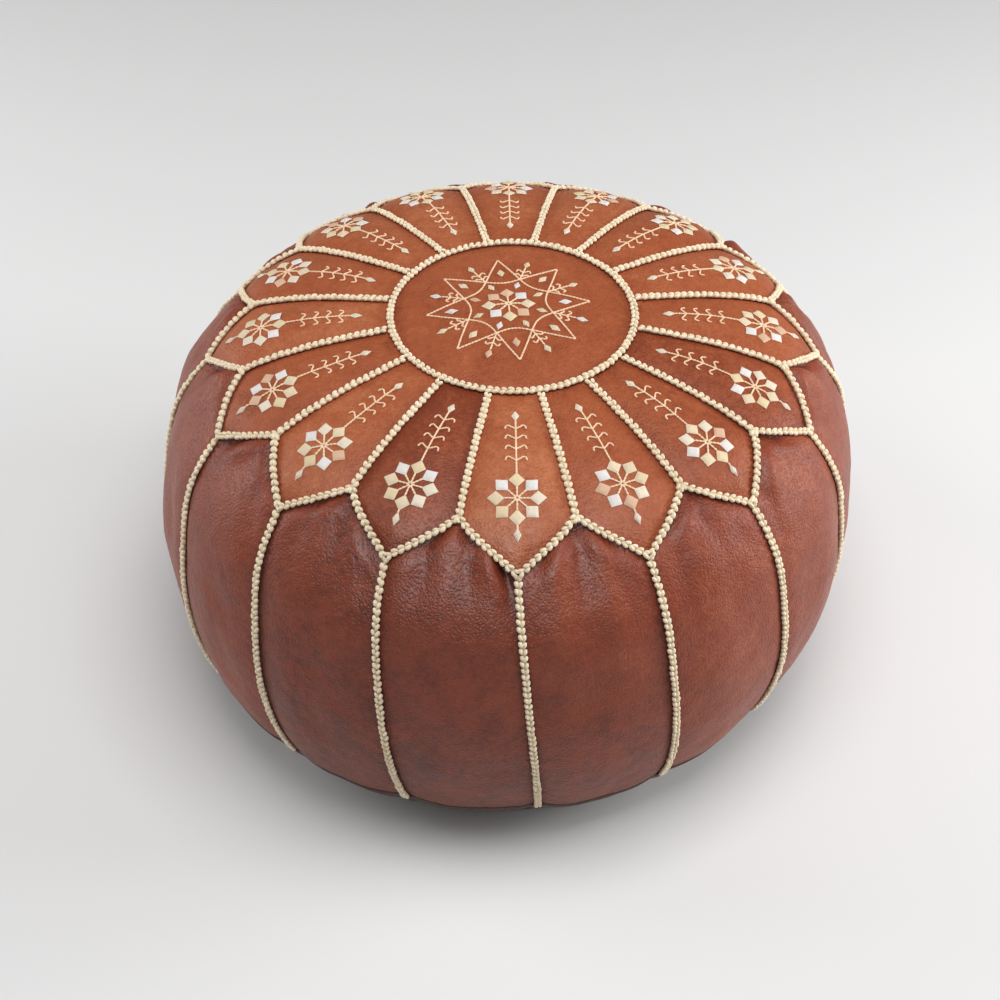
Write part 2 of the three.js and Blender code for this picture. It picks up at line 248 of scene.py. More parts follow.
def leather(name, colour, pale, dark, dull):
    """Colours are linear. The attributes are the hide's own tone, from -1 to 1, with painted shade in it
    at the feet of the front side panels, the nearness of a seam, and the depth of a fold. Near a seam
    and in a fold the colour is darkened: painted shade."""
    finish = Finish(name, {"Specular IOR Level": 0.30, "Coat Roughness": 0.36})
    tone = finish.attribute("hide_tone")
    seam = finish.attribute("seam_near")
    fold = finish.attribute("fold_depth")
    blotches = finish.cloud(13, 4, 0.6)
    smears = finish.cloud(42, 5, 0.62, distortion=0.7)
    mottle = finish.cloud(230, 3, 0.65)
    speckles = finish.cloud(640, 2, 0.7)
    pores = finish.cells(520).between(0.12, 0.62)
    depth = tone * 0.40 + blotches * 0.60 + smears * 0.80 + mottle * 0.65 + speckles * 0.45 - 0.75
    # Painted shade: the colour is darkened near the seams and in the folds.
    depth = depth - (1 - pores) * 0.10 - (seam ** 1.5) * 0.45 - fold * 0.35
    shade = finish.mix(depth.between(-0.1, 0.55), dark, colour)
    shade = finish.mix(depth.between(0.45, 1.1), shade, pale)
    creases = finish.cells(88, "DISTANCE_TO_EDGE", finish.stretched((1.0, 1.0, 0.6)))
    grain = pores * 0.6 + speckles * 0.9 + mottle * 0.5 + finish.cloud(140, 4) * 0.7
    grain = grain + creases.between(0.0, 0.09) * 0.2
    rough = smears * 0.14 + (1 - pores) * 0.06 + seam * 0.1 + dull
    relief = finish.bump(grain, 0.0008, 0.6)
    coat = 0.06 - seam * 0.04
    return finish.feed(
        {"Base Color": shade, "Roughness": rough, "Coat Weight": coat, "Normal": relief}
    )


TAN = (0.37, 0.088, 0.028, 1)
TAN_PALE = (0.52, 0.172, 0.070, 1)
TAN_DARK = (0.200, 0.034, 0.009, 1)
RUSSET = (0.255, 0.048, 0.018, 1)
RUSSET_PALE = (0.43, 0.120, 0.048, 1)
RUSSET_DARK = (0.104, 0.019, 0.010, 1)
crown_leather = leather("crown_leather", TAN, TAN_PALE, TAN_DARK, 0.38)
side_leather = leather("side_leather", RUSSET, RUSSET_PALE, RUSSET_DARK, 0.34)

LEATHER_THICKNESS = 0.0018
SEAM_DIP = 0.0016  # how far a sewn edge is drawn in
SEAM_ROLL = 0.007  # how far from a seam the leather has risen again


def rise(distance, reach):
    """0 at a seam, 1 well away from it."""
    return 1 - math.exp(-((max(distance, 0.0) / reach) ** 1.4))


def lumps(point, size, seed):
    """Unevenness of the stuffing, about -1 to 1."""
    return noise.noise(point / size + Vector((seed * 7.1, seed * 3.3, -seed * 5.7)))


def finish_piece(name, mesh_maker, finish, node=None, body="pouf"):
    """Closes a bmesh into a named object that rides on a body and stands for a CAD node."""
    mesh = bpy.data.meshes.new(name)
    mesh_maker.to_mesh(mesh)
    mesh_maker.free()
    mesh.polygons.foreach_set("use_smooth", [True] * len(mesh.polygons))
    mesh.materials.append(finish)
    piece = bpy.data.objects.new(name, mesh)
    bpy.context.collection.objects.link(piece)
    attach(piece, body)
    if node:
        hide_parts(*([node] if isinstance(node, str) else node))
    return piece


def leather_sheet(columns, rows, place):
    """A sheet whose points place(u, v) puts on the cover, as (point, seam, fold) for u and v 0 to 1."""
    sheet = bmesh.new()
    bmesh.ops.create_grid(sheet, x_segments=columns, y_segments=rows, size=0.5)
    seam_near = sheet.verts.layers.float.new("seam_near")
    fold_depth = sheet.verts.layers.float.new("fold_depth")
    for vert in sheet.verts:
        vert.co, vert[seam_near], vert[fold_depth] = place(vert.co.x + 0.5, vert.co.y + 0.5)
    face_outwards(sheet)
    return sheet


def face_outwards(sheet):
    """Turns an open sheet's faces away from the middle of the pouf."""
    sheet.normal_update()
    middle = Vector((0, 0, GIRTH_HEIGHT))
    facing = sum(face.normal.dot(face.calc_center_median() - middle) for face in sheet.faces)
    if facing < 0:
        bmesh.ops.reverse_faces(sheet, faces=sheet.faces)


def set_tone(piece, tone, foot=None):
    """The hide's tone, with any painted shade, on every point of a piece, the same all over or changing
    down to its foot.
    """
    foot = tone if foot is None else foot
    fall = TIP_HEIGHT - SEAM_HEIGHT
    tones = piece.data.attributes.new("hide_tone", "FLOAT", "POINT")
    for place, vert in zip(tones.data, piece.data.vertices):
        down = min(max((TIP_HEIGHT - vert.co.z) / fall, 0.0), 1.0) ** 0.7
        place.value = tone + (foot - tone) * down


def thicken(piece, thickness, levels=1):
    """Leather's thickness goes inwards, and then the piece is smoothed."""
    solid = piece.modifiers.new("thickness", "SOLIDIFY")
    solid.thickness = thickness
    solid.offset = -1
    smooth = piece.modifiers.new("smooth", "SUBSURF")
    smooth.levels = smooth.render_levels = levels


# ---- Medallion ----------------------------------------------------------------------------------
# One disc of leather in the middle of the crown, pulled into a very shallow dome by its round seam.

MEDALLION_RINGS = 30


def make_medallion():
    disc = bmesh.new()
    steps = [RING_RADIUS * i / MEDALLION_RINGS for i in range(MEDALLION_RINGS + 1)]
    spokes = [disc.verts.new((step, 0, 0)) for step in steps]
    edges = [disc.edges.new(pair) for pair in zip(spokes, spokes[1:])]
    spin = {"angle": 2 * math.pi, "steps": 96, "axis": (0, 0, 1), "use_merge": True}
    bmesh.ops.spin(disc, geom=spokes + edges, cent=(0, 0, 0), **spin)
    bmesh.ops.remove_doubles(disc, verts=disc.verts, dist=1e-5)
    seam_near = disc.verts.layers.float.new("seam_near")
    for vert in disc.verts:
        radius = vert.co.xy.length
        turn = math.atan2(vert.co.x, -vert.co.y) / STEP
        share = AT_RING * radius / RING_RADIUS
        inset = RING_RADIUS - radius
        puff = 0.0012 * rise(inset, 0.02) + 0.0007 * lumps(vert.co, 0.05, 3) * rise(inset, 0.02)
        # Near the round seam this darkens the colour: painted shade.
        vert[seam_near] = math.exp(-inset / 0.006)
        vert.co = on_cover(share, turn, puff - SEAM_DIP * math.exp(-inset / SEAM_ROLL))
    face_outwards(disc)
    return disc


medallion = finish_piece(
    "medallion_leather", make_medallion(), crown_leather, "medallion"
)
set_tone(medallion, 0.0)
thicken(medallion, LEATHER_THICKNESS)

# ---- Crown petals -------------------------------------------------------------------------------
# Sixteen five-sided pieces. Each is cut from another part of the hide, so their tones differ, and
# each is stuffed into a low cushion between its braided seams.

PETAL_TONES = [0.7, 0.1, -0.2, -0.6, 0.1, 0.3, 0.1, 0.4, 0.4, 0.5, 0.4, 0.3, 0.5, -0.1, 0.4, -0.9]
PETAL_LENGTH = arc_length(AT_RING, AT_TIP)


def make_petal(number):
    chance = random.Random(number)
    plump = chance.uniform(0.0022, 0.0036)
    crease_at = chance.uniform(-0.3, 0.3)

    def place(u, v):
        across = 2 * u - 1
        turn = number + across / 2
        share = AT_RING + (zigzag(turn) - AT_RING) * v
        radius = spline(share)[0].x
        side = (1 - abs(across)) * radius * STEP / 2
        foot = v * PETAL_LENGTH
        head = (1 - v) * (zigzag(turn) - AT_RING) / (AT_TIP - AT_RING) * PETAL_LENGTH * 0.72
        inset = min(side, foot, head)
        cushion = rise(side, 0.013) * rise(foot, 0.016) * rise(head, 0.016)
        bare = on_cover(share, turn)
        crease = math.exp(-(((across - crease_at) / 0.13) ** 2)) * math.exp(-head / 0.022)
        crease *= rise(head, 0.004)
        out = plump * cushion - SEAM_DIP * math.exp(-inset / SEAM_ROLL) - 0.0013 * crease
        out += 0.0011 * lumps(bare, 0.035, number) * cushion
        out += 0.0005 * lumps(bare, 0.009, number + 40) * math.exp(-inset / 0.012) * rise(inset, 0.003)
        # Near the seams and along the crease the colour is darkened: painted shade.
        return on_cover(share, turn, out), math.exp(-inset / 0.005), crease * 0.6

    return leather_sheet(28, 44, place)


for number in range(PANELS):
    node = f"petal_{number + 1:02d}"
    petal = finish_piece(f"{node}_leather", make_petal(number), crown_leather, node)
    set_tone(petal, PETAL_TONES[number])
    thicken(petal, LEATHER_THICKNESS)

# ---- Side panels --------------------------------------------------------------------------------
# Sixteen long pieces with pointed tops. The flat leather is eased in where it meets the zigzag, so
# soft gathers run down from there, deepest under the shoulder where two petals meet.

SIDE_TONES = [0.1, 0.15, 0.3, 0.3, 0.2, 0.1, 0.0, 0.2, -0.1, 0.1, 0.0, 0.0, 0.1, -0.1, -0.3, 0.0]
# The tone at each side panel's foot. The front panels' much darker feet are painted shade; the other feet
# differ at random.
FOOT_TONES_AND_SHADE = [-0.6, 0.1, 0.1, 0.1, 0.0, -0.1, -0.2, 0.0, -0.3, -0.1, -0.2, -0.1, -0.1, -0.1, -0.6, -0.8]
SIDE_LENGTH = arc_length(AT_TIP, 1.0)
PANEL_DIP = 0.0024  # the long seams draw the leather in more than the crown's do
PANEL_ROLL = 0.013
# Gathers: place across the panel, depth, width across, length down, all but the first in metres
FRONT_GATHERS = {
    15: [(0.33, 0.0036, 0.0090, 0.046), (0.60, 0.0042, 0.0080, 0.044), (0.885, 0.0080, 0.0055, 0.020)],
    0: [(0.47, 0.0050, 0.0075, 0.050), (0.70, 0.0026, 0.0070, 0.036), (0.20, 0.0022, 0.0090, 0.028)],
    1: [(0.28, 0.0036, 0.0095, 0.046), (0.52, 0.0038, 0.0085, 0.034), (0.74, 0.0022, 0.0075, 0.030)],
    14: [(0.57, 0.0038, 0.0085, 0.042), (0.32, 0.0028, 0.0085, 0.034), (0.80, 0.0024, 0.0075, 0.030)],
}


def gathers_for(number):
    if number in FRONT_GATHERS:
        return FRONT_GATHERS[number]
    chance = random.Random(100 + number)
    return [
        (
            spot + chance.uniform(-0.07, 0.07),
            chance.uniform(0.0020, 0.0042),
            chance.uniform(0.0065, 0.0100),
            chance.uniform(0.022, 0.045),
        )
        for spot in (0.25, 0.5, 0.74)
    ]


def make_side_panel(number):
    chance = random.Random(200 + number)
    plump = chance.uniform(0.0010, 0.0022)
    gathers = gathers_for(number)
    drag = chance.uniform(-0.5, 0.5)

    def place(u, v):
        turn = number + u
        top = zigzag(turn)
        share = top + (1 - top) * v ** 1.15
        width = spline(share)[0].x * STEP
        side = min(u, 1 - u) * width
        drop = (share - top) / (1 - AT_TIP) * SIDE_LENGTH
        foot = (1 - share) / (1 - AT_TIP) * SIDE_LENGTH
        inset = min(side, drop * 0.8, foot)
        cushion = rise(side, 0.02) * rise(drop, 0.024) * rise(foot, 0.03)
        bare = on_cover(share, turn)
        fold = 0.0
        ridge = 0.0
        for spot, depth, wide, long in gathers:
            away = ((u - spot) * width - (spot - 0.5) * drop * 0.35) / wide
            fade = math.exp(-((drop / long) ** 1.6)) * rise(drop, 0.003)
            fold += depth * math.exp(-away * away) * fade
            beside = math.exp(-((away - 2.1) ** 2)) + math.exp(-((away + 2.1) ** 2))
            ridge += 0.45 * depth * beside * fade
        drape = noise.noise(Vector((u * 3.1 + drag * v, v * 1.7, number * 1.37)))
        out = plump * cushion - PANEL_DIP * math.exp(-inset / PANEL_ROLL) - fold + ridge
        out += (0.0024 * lumps(bare, 0.085, number) + 0.0018 * drape) * cushion
        out += 0.0012 * lumps(bare, 0.028, number + 60) * cushion
        crest = math.exp(-(((drop - 0.019) / 0.012) ** 2)) * rise(side, 0.016)
        out += (0.0024 + 0.0010 * drape) * crest
        out += 0.0004 * lumps(bare, 0.010, number + 90) * rise(inset, 0.004)
        tuck = math.sin(2 * math.pi * drop / 0.0115 + number) * math.exp(-side / 0.009)
        out += 0.00028 * tuck * rise(side, 0.002)
        # Near the seams and in the gathers the colour is darkened: painted shade.
        return on_cover(share, turn, out), math.exp(-inset / 0.0055), min(fold / 0.006, 1.0)

    return leather_sheet(44, 104, place)


for number in range(PANELS):
    node = f"side_panel_{number + 1:02d}"
    panel = make_side_panel(number)
    panel = finish_piece(f"{node}_leather", panel, side_leather, node)
    set_tone(panel, SIDE_TONES[number], FOOT_TONES_AND_SHADE[number])
    thicken(panel, LEATHER_THICKNESS)

# ---- Braided seams ------------------------------------------------------------------------------
# Waxed cream thread, thick as twine, plaited over every seam by hand. Each stitch is a bead of two
# lobes side by side, a little out of step, over a thinner bed of the same thread. The bed is coloured
# darker than the lobes: painted shade between the beads.

STITCH_PITCH = 0.0050
STITCH_LOBE = Vector((0.00150, 0.00245, 0.0017))  # half width, half length, half height
STITCH_BED = Vector((0.0017, 0.0032, 0.0012))
STITCH_SPREAD = 0.00125
STITCH_STEP = 0.00045  # how far one lobe is ahead of the other
STITCH_LEAN = math.radians(19)
CROWN_RISE = 0.0008
PANEL_RISE = -0.0002
AT_FOOT_STRIP = 0.878  # the side seams end under the strip that binds the foot
thread_chance = random.Random(7)


def thread_finish(name, colour, shade, strands):
    finish = Finish(name, {"Specular IOR Level": 0.25, "Sheen Weight": 0.15, "Sheen Roughness": 0.5})
    tone = finish.attribute("thread_tone")
    fibres = finish.cloud(strands, 3, 0.6)
    soil = finish.cloud(38, 3).between(0.45, 0.75)
    mixed = finish.mix(tone, colour, shade)
    mixed = finish.mix(soil * 0.22, mixed, shade)
    mixed = finish.mix(fibres.between(0.4, 0.75) * 0.2, mixed, shade)
    rough = fibres * 0.25 + 0.55
    relief = finish.bump(fibres, 0.0004, 0.6)
    return finish.feed({"Base Color": mixed, "Roughness": rough, "Normal": relief})


braid_thread = thread_finish("braid_thread", (0.95, 0.83, 0.62, 1), (0.64, 0.49, 0.29, 1), 1400)


def lobe_mesh(half, columns=8, rows=5):
    lobe = bmesh.new()
    bmesh.ops.create_uvsphere(lobe, u_segments=columns, v_segments=rows, radius=1.0)
    bmesh.ops.scale(lobe, vec=half, verts=lobe.verts)
    mesh = bpy.data.meshes.new("lobe")
    lobe.to_mesh(mesh)
    lobe.free()
    return mesh


class Seam:
    """Points and outward directions along a line on the cover, walked by length."""

    def __init__(self, place, steps=160, rise=CROWN_RISE):
        spots = [place(i / steps) for i in range(steps + 1)]
        self.points = [on_cover(share, turn, rise) for share, turn in spots]
        self.outs = [outward(share, turn) for share, turn in spots]
        self.reach = [0.0]
        for a, b in zip(self.points, self.points[1:]):
            self.reach.append(self.reach[-1] + (b - a).length)
        self.length = self.reach[-1]

    def at(self, distance):
        """A matrix whose Y runs along the seam and whose Z points out of the leather."""
        i = 0
        while i < len(self.reach) - 2 and self.reach[i + 1] < distance:
            i += 1
        part = (distance - self.reach[i]) / (self.reach[i + 1] - self.reach[i])
        along = (self.points[i + 1] - self.points[i]).normalized()
        out = self.outs[i].lerp(self.outs[i + 1], part)
        across = along.cross(out).normalized()
        spot = self.points[i].lerp(self.points[i + 1], part)
        columns = Matrix((across, along, across.cross(along))).transposed()
        return Matrix.Translation(spot) @ columns.to_4x4()


def lay_lobe(target, tones, lobe, matrix, tone):
    """Adds one lobe of thread to a bmesh, and its tone to the list that follows its points."""
    lobe.transform(matrix)
    target.from_mesh(lobe)
    lobe.transform(matrix.inverted())
    tones.extend([tone] * len(lobe.vertices))


def braid(name, node, seams):
    stitches = bmesh.new()
    lobe = lobe_mesh(STITCH_LOBE)
    bed = lobe_mesh(STITCH_BED, 6, 4)
    tones = []
    for seam in seams:
        count = max(round(seam.length / STITCH_PITCH), 1)
        for i in range(count):
            base = seam.at((i + 0.5) * seam.length / count)
            under = base @ Matrix.Translation((0, STITCH_PITCH / 2, -0.0006))
            # The bed's dark tone is painted shade in the gaps between the beads.
            lay_lobe(stitches, tones, bed, under, 0.8)
            for side in (-1, 1):
                wander = Vector([thread_chance.gauss(0, 0.00016) for _ in range(3)])
                shift = Vector((side * STITCH_SPREAD, -side * STITCH_STEP, 0.0005)) + wander
                lean = side * STITCH_LEAN + thread_chance.gauss(0, 0.08)
                size = thread_chance.uniform(0.92, 1.08)
                turn = Euler((thread_chance.gauss(0, 0.05), 0.0, lean)).to_matrix().to_4x4()
                put = base @ Matrix.Translation(shift) @ turn @ Matrix.Scale(size, 4)
                lay_lobe(stitches, tones, lobe, put, thread_chance.uniform(0.0, 0.3))
    piece = finish_piece(name, stitches, braid_thread, node)
    tone = piece.data.attributes.new("thread_tone", "FLOAT", "POINT")
    tone.data.foreach_set("value", tones)
    return piece


ring = [Seam(lambda s: (AT_RING, s * PANELS), 320)]
spokes = [
    Seam(lambda s, n=n: (AT_RING + 0.004 + (AT_SHOULDER - AT_RING - 0.006) * s, n + 0.5))
    for n in range(PANELS)
]
braid("crown_braid_stitches", "crown_braid", ring + spokes)
slopes = [
    Seam(lambda s, n=n, side=side: (zigzag(n + side * s), n + side * s))
    for n in range(PANELS)
    for side in (-0.5, 0.5)
]
side_seams = [
    Seam(lambda s, n=n: (AT_TIP - 0.004 + (AT_FOOT_STRIP + 0.006 - AT_TIP) * s, n), rise=PANEL_RISE)
    for n in range(PANELS)
]
braid("skirt_braid_stitches", "skirt_braid", slopes + side_seams)

# ---- Embroidery ---------------------------------------------------------------------------------
# Finer silk-like thread on the crown: satin-stitch lozenges whose threads lie side by side, and thin
# lines of back stitch. It is sewn flat on the leather before the pieces are joined.

silk = thread_finish("silk_thread", (0.94, 0.74, 0.50, 1), (0.80, 0.46, 0.28, 1), 900)
SILK_COLOURS = {
    "cream": (0.88, 0.73, 0.51, 1),
    "ivory": (0.91, 0.81, 0.65, 1),
    "white": (0.90, 0.87, 0.85, 1),
    "peach": (0.80, 0.50, 0.33, 1),
    "straw": (0.85, 0.69, 0.43, 1),
}


def satin_finish():
    """The threads run along a lozenge's own V direction."""
    finish = Finish("satin_stitch", {"Specular IOR Level": 0.35, "Sheen Weight": 0.1})
    colour = finish.attribute("silk", "Color")
    place = finish.node("ShaderNodeUVMap", {"uv_map": "threads"})
    sockets = {"Vector": place, "Scale": 3.2, "Distortion": 0.6, "Detail": 1.0}
    threads = finish.node("ShaderNodeTexWave", {"bands_direction": "X"}, sockets, out=1)
    # Painted shade: the colour darkens in the grooves between the threads.
    shaded = finish.mix((1 - threads) * 0.30, colour, (0.66, 0.48, 0.30, 1))
    relief = finish.bump(threads, 0.00016, 0.7)
    return finish.feed({"Base Color": shaded, "Roughness": threads * 0.12 + 0.45, "Normal": relief})


satin = satin_finish()
stitch_chance = random.Random(11)


class LeatherTop:
    """The stuffed leather of one piece, for thread to be laid on."""

    def __init__(self, name):
        mesh = bpy.data.objects[name].data
        points = [vert.co for vert in mesh.vertices]
        self.tree = BVHTree.FromPolygons(points, [face.vertices for face in mesh.polygons])

    def above(self, point, out, lift):
        hit = self.tree.ray_cast(point + out * 0.02, -out, 0.04)[0]
        return (hit or point) + out * lift


class Needlework:
    """Embroidery on one piece of the crown, in plain measures: across towards +X, and away from the
    medallion, both in metres. A function then lays each point on the leather."""

    def __init__(self, lay):
        self.lay = lay
        self.satin = bmesh.new()
        self.silk = self.satin.verts.layers.float_color.new("silk")
        self.threads = self.satin.loops.layers.uv.new("threads")
        self.lines = bmesh.new()
        self.tones = []
        self.lobe = lobe_mesh(Vector((0.00078, 0.0018, 0.0007)), 6, 4)

    def lozenge(self, centre, turn, length, width, colour, lift=0.0011):
        """A domed diamond of parallel threads. Its long axis points along turn."""
        made = bmesh.ops.create_grid(self.satin, x_segments=6, y_segments=6, size=1.0)
        verts = made["verts"]
        bright = stitch_chance.uniform(0.95, 1.04)
        tint = [part * bright for part in SILK_COLOURS[colour][:3]] + [1.0]
        for face in {face for vert in verts for face in vert.link_faces}:
            for loop in face.loops:
                loop[self.threads].uv = (loop.vert.co.x + 1, loop.vert.co.y + 1)
        for vert in verts:
            p, q = vert.co.x, vert.co.y
            dome = (1 - p ** 4) * (1 - q ** 4)
            flat = Vector(((p - q) / 2 * width / 2, (p + q) / 2 * length / 2))
            flat.rotate(Matrix.Rotation(-turn, 2))
            vert.co = self.lay(centre + flat, 0.0003 + lift * dome ** 0.5)
            vert[self.silk] = tint

    def line(self, points, tone=0.2, pitch=0.0026, weight=1.0):
        """Back stitches along a smooth line through points."""
        flats = [Vector(point) for point in points]
        if len(flats) > 2:
            count = 8 * (len(flats) - 1)
            flats = [spline(i / count, points)[0] for i in range(count + 1)]
        reach = [0.0]
        for a, b in zip(flats, flats[1:]):
            reach.append(reach[-1] + (b - a).length)
        stitches = max(round(reach[-1] / pitch), 1)
        i = 0
        for s in range(stitches):
            want = (s + 0.5) * reach[-1] / stitches
            while i < len(reach) - 2 and reach[i + 1] < want:
                i += 1
            part = (want - reach[i]) / (reach[i + 1] - reach[i])
            spot = flats[i].lerp(flats[i + 1], part)
            along = (flats[i + 1] - flats[i]).normalized() * 0.001
            here = self.lay(spot, 0.0004)
            ahead = (self.lay(spot + along, 0.0004) - here).normalized()
            out = (self.lay(spot, 0.002) - here).normalized()
            across = ahead.cross(out).normalized()
            turn = Matrix((across, ahead, across.cross(ahead))).transposed().to_4x4()
            put = Matrix.Translation(here) @ turn @ Matrix.Scale(weight, 4)
            shade = tone + stitch_chance.uniform(-0.15, 0.15)
            lay_lobe(self.lines, self.tones, self.lobe, put, shade)

    def rosette(self, inner, outer, width, colours, start=0.0):
        """Eight lozenges on eight spokes, round the origin."""
        for i, colour in enumerate(colours):
            turn = start + i * math.pi / 4
            way = Vector((math.sin(turn), math.cos(turn)))
            self.lozenge(way * (inner + outer) / 2, turn, outer - inner, width, colour)
            self.line([way * 0.0008, way * (inner + 0.0006)], 0.1, 0.0023)

    def sprig(self, foot, turn, length, roots, reach, rise_by):
        """A stem from foot along turn. Each pair of leaves rises from its root and curls back."""
        way = Vector((math.sin(turn), math.cos(turn)))
        side_way = Vector((way.y, -way.x))
        self.line([foot, foot + way * length], 0.25, 0.0023, 0.95)
        for root in roots:
            for side in (-1, 1):
                arc = [(0.0, 0.0), (0.36, 0.5), (0.7, 1.0), (0.93, 0.72), (1.0, 0.1)]
                points = [
                    foot + way * (root + up * rise_by) + side_way * side * out * reach for out, up in arc
                ]
                self.line([tuple(point) for point in points], 0.45, 0.0021, 0.95)

    def finish(self, name):
        finish_piece(f"{name}_satin", self.satin, satin)
        thin = finish_piece(f"{name}_lines", self.lines, silk)
        tone = thin.data.attributes.new("thread_tone", "FLOAT", "POINT")
        tone.data.foreach_set("value", self.tones)


# ---- Medallion embroidery -----------------------------------------------------------------------
# An eight-pointed star drawn by one line that crosses itself, with a rosette in its middle, lozenges
# inside its points and its crossings, and a leafy twig outside each crossing.

CROWN_X = settle(Vector((0, 0, OUTLINE[0][1]))).x
STAR_CENTRE = Vector((CROWN_X - 0.0029, 0.0016))
STAR_TURN = math.radians(7)
STAR_TIP = 0.0590
STAR_CROSSING = 0.0330
STAR_BOW = 0.0273
EIGHTH = math.pi / 4
medallion_top = LeatherTop("medallion_leather")


def top_of_medallion(flat, lift):
    spot = Vector((STAR_CENTRE.x + flat.x, STAR_CENTRE.y - flat.y, OUTLINE[0][1]))
    return medallion_top.above(spot, Vector((0, 0, 1)), lift)


def around(radius, turn):
    return Vector((radius * math.sin(turn), radius * math.cos(turn)))


def star_arm(turn):
    """A blunt point of the star, from one crossing out and back to the next."""
    arm = [
        (STAR_CROSSING, -0.5),
        (0.0446, -0.2),
        (0.0560, -0.035),
        (STAR_TIP, 0.0),
        (0.0560, 0.035),
        (0.0446, 0.2),
        (STAR_CROSSING, 0.5),
    ]
    return [tuple(around(radius, turn + side * EIGHTH)) for radius, side in arm]


def sew_medallion():
    work = Needlework(top_of_medallion)
    petals = ["straw", "peach", "cream", "white", "peach", "peach", "cream", "white"]
    work.rosette(0.0082, 0.0197, 0.0108, petals, STAR_TURN - math.radians(3))
    tips = ["peach", "cream", "white", "cream", "straw", "cream", "white", "cream"]
    for i, colour in enumerate(tips):
        turn = STAR_TURN + i * EIGHTH
        work.line(star_arm(turn), 0.35)
        bow = [(STAR_CROSSING, -0.5), (0.0286, -0.25), (STAR_BOW, 0), (0.0286, 0.25), (STAR_CROSSING, 0.5)]
        work.line([tuple(around(radius, turn + side * EIGHTH)) for radius, side in bow], 0.35)
        work.lozenge(around(0.0413, turn), turn, 0.0102, 0.0060, colour)
        between = turn + EIGHTH / 2
        work.lozenge(around(0.0248, between), between, 0.0090, 0.0050, tips[(i + 3) % 8])
        work.sprig(around(STAR_CROSSING, between), between, 0.0170, [0.0045, 0.0100], 0.0052, 0.0024)
        work.lozenge(around(0.0543, between), between, 0.0095, 0.0052, tips[(i + 1) % 8])
    work.finish("medallion_embroidery")


sew_medallion()

# ---- Petal embroidery ---------------------------------------------------------------------------
# Each petal has a rosette near its tip, a drop outside it, and a leafy stem towards the medallion.

FLOWER_RADIUS = 0.1808
ROSETTE_SILKS = [
    ["cream", "ivory", "ivory", "white", "straw", "white", "cream", "straw"],
    ["peach", "ivory", "straw", "cream", "cream", "white", "peach", "white"],
    ["straw", "white", "peach", "ivory", "cream", "ivory", "white", "cream"],
]


def top_of_petal(number):
    """Lays points from the rosette's middle, which is near the petal's tip."""
    shares = [AT_RING + (AT_TIP - AT_RING) * i / 80 for i in range(81)]
    reach = [0.0]
    for a, b in zip(shares, shares[1:]):
        reach.append(reach[-1] + (spline(b)[0] - spline(a)[0]).length)
    middle = next(i for i, share in enumerate(shares) if spline(share)[0].x >= FLOWER_RADIUS)
    leather_top = LeatherTop(f"petal_{number + 1:02d}_leather")

    def lay(flat, lift):
        want = min(max(reach[middle] + flat.y, 0.0), reach[-1])
        i = 0
        while i < len(reach) - 2 and reach[i + 1] < want:
            i += 1
        part = (want - reach[i]) / (reach[i + 1] - reach[i])
        share = shares[i] + (shares[i + 1] - shares[i]) * part
        turn = number + flat.x / (spline(share)[0].x * STEP)
        return leather_top.above(on_cover(share, turn), outward(share, turn), lift)

    return lay


def sew_petals():
    for number in range(PANELS):
        work = Needlework(top_of_petal(number))
        work.rosette(0.0080, 0.0196, 0.0108, ROSETTE_SILKS[number % 3])
        work.line([Vector((0, 0.0192)), Vector((0, 0.0215))], 0.3)
        work.lozenge(Vector((0, 0.0252)), 0.0, 0.0098, 0.0050, "ivory")
        leaves = [0.0108, 0.0203, 0.0293, 0.0384]
        work.sprig(Vector((0, -0.0188)), math.pi, 0.0468, leaves, 0.0070, 0.0030)
        work.lozenge(Vector((0, -0.0695)), 0.0, 0.0100, 0.0056, "ivory")
        work.finish(f"petal_{number + 1:02d}_embroidery")


sew_petals()

# ---- Base ---------------------------------------------------------------------------------------
# Two half discs of darker, heavier leather. They lie flat on the floor, but rise to a groove across
# the middle, so that the zip between them stays clear of the floor.

BASE_X = settle(Vector((0, 0, 0))).x
BASE_RADIUS = 0.2030
BASE_LEATHER = 0.0028
GROOVE_DEPTH = 0.009
GROOVE_INNER = 0.015
GROOVE_OUTER = 0.027
ZIP_WINDOW = 0.008
BASE_DARK = (0.062, 0.024, 0.014, 1)
BASE_PALE = (0.115, 0.048, 0.028, 1)
# The darkest end of the base leather, reached by its random tone and by the painted shade near its seams.
BASE_DARKEST = (0.030, 0.012, 0.008, 1)
base_leather = leather("base_leather", BASE_DARK, BASE_PALE, BASE_DARKEST, 0.5)


def groove(distance):
    """Height of the leather's underside at a distance from the zip."""
    part = (GROOVE_OUTER - distance) / (GROOVE_OUTER - GROOVE_INNER)
    part = min(max(part, 0.0), 1.0)
    return GROOVE_DEPTH * part * part * (3 - 2 * part)


def make_base_half(side):
    start = math.asin(ZIP_WINDOW / BASE_RADIUS)

    def place(u, v):
        angle = start + (math.pi / 2 - start) * v ** 1.6
        x = (2 * u - 1) * BASE_RADIUS * math.cos(angle)
        y = side * BASE_RADIUS * math.sin(angle)
        rim = BASE_RADIUS - math.hypot(x, y)
        ripple = 0.0004 * (1 + noise.noise(Vector((x, y, 0)) / 0.03)) * rise(rim, 0.01)
        edge = abs(y) - ZIP_WINDOW
        height = groove(abs(y)) + ripple
        # Near the rim and the zip the colour is darkened: painted shade.
        return Vector((BASE_X + x, y, height)), math.exp(-min(rim, edge) / 0.005), 0.0

    half = leather_sheet(72, 60, place)
    bmesh.ops.remove_doubles(half, verts=half.verts, dist=1e-5)
    return half


